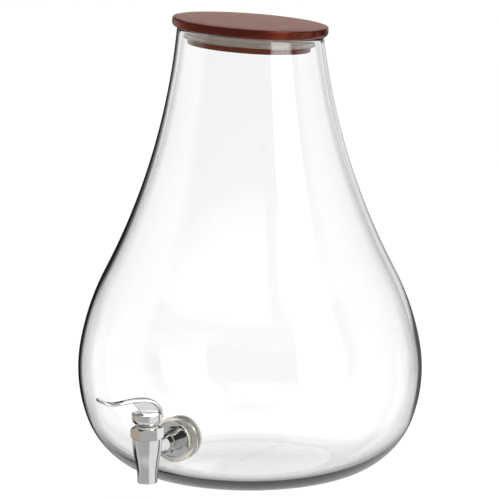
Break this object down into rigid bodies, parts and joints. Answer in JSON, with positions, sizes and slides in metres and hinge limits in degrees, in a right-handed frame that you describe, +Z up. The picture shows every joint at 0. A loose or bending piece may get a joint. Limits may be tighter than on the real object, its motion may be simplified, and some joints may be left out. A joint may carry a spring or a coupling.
{
  "type": "countertop drink dispenser",
  "caption": "Pear-shaped clear glass drink dispenser with a slanted mouth, turned wooden lid and a chrome push-lever tap.",
  "frame": {"origin": "on the jar's own axis, in the plane of the flat foot that it rests on", "axes": "+Z up along the jar's axis, the tap points along -Y, and the slanted mouth is low towards +X"},
  "size_m": [0.3057, 0.3909, 0.4057],
  "materials": {
    "clear_glass": "clear, polished",
    "lid_wood": "oiled, satin",
    "plug_wood": "oiled, satin",
    "clear_silicone": "translucent, matte",
    "chrome": "polished",
    "stainless": "brushed",
    "white_plastic": "smooth",
    "seal_rubber": "matte"
  },
  "bodies": {
    "jar": {"glass_jar": "clear_glass", "tap_body": "chrome", "tap_flange": "chrome", "tap_bonnet": "chrome", "bonnet_seal": "seal_rubber", "stem_seal": "seal_rubber", "outer_washer": "clear_silicone", "inner_washer": "clear_silicone", "backing_washer": "stainless", "lock_nut": "white_plastic", "valve_spring": "stainless"},
    "swivel": {"slip_washer": "white_plastic"},
    "stem": {"valve_stem": "stainless", "seat_plug": "clear_silicone", "spring_washer": "stainless"},
    "lever": {"tap_lever": "chrome", "lever_pin": "chrome"},
    "lid": {"lid_board": "lid_wood", "lid_plug": "plug_wood", "lid_gasket": "clear_silicone"}
  },
  "joints": [
    {"name": "tap_swivel", "type": "hinge", "parent": "jar", "child": "swivel", "pos_m": [0, -0.201, 0.079], "axis": [0, 0, 1], "range_deg": [-110, 190]},
    {"name": "stem_lift", "type": "slide", "parent": "swivel", "child": "stem", "axis": [0, 0, 1], "range_m": [0, 0.0027], "deforming": ["valve_spring"]},
    {"name": "lever_tilt", "type": "hinge", "parent": "stem", "child": "lever", "pos_m": [0, -0.201, 0.0855], "axis": [0.766, -0.6428, 0], "range_deg": [0, 25], "stiffness_Nm_per_rad": 0.5, "springref_deg": -17.19},
    {"name": "lid_lift", "type": "slide", "parent": "jar", "child": "lid", "axis": [0.0802, 0, 0.9968], "range_m": [0, 0.06]}
  ],
  "couplings": [
    {"joint": "stem_lift", "follows": "lever_tilt", "m_per_rad": 0.006}
  ]
}
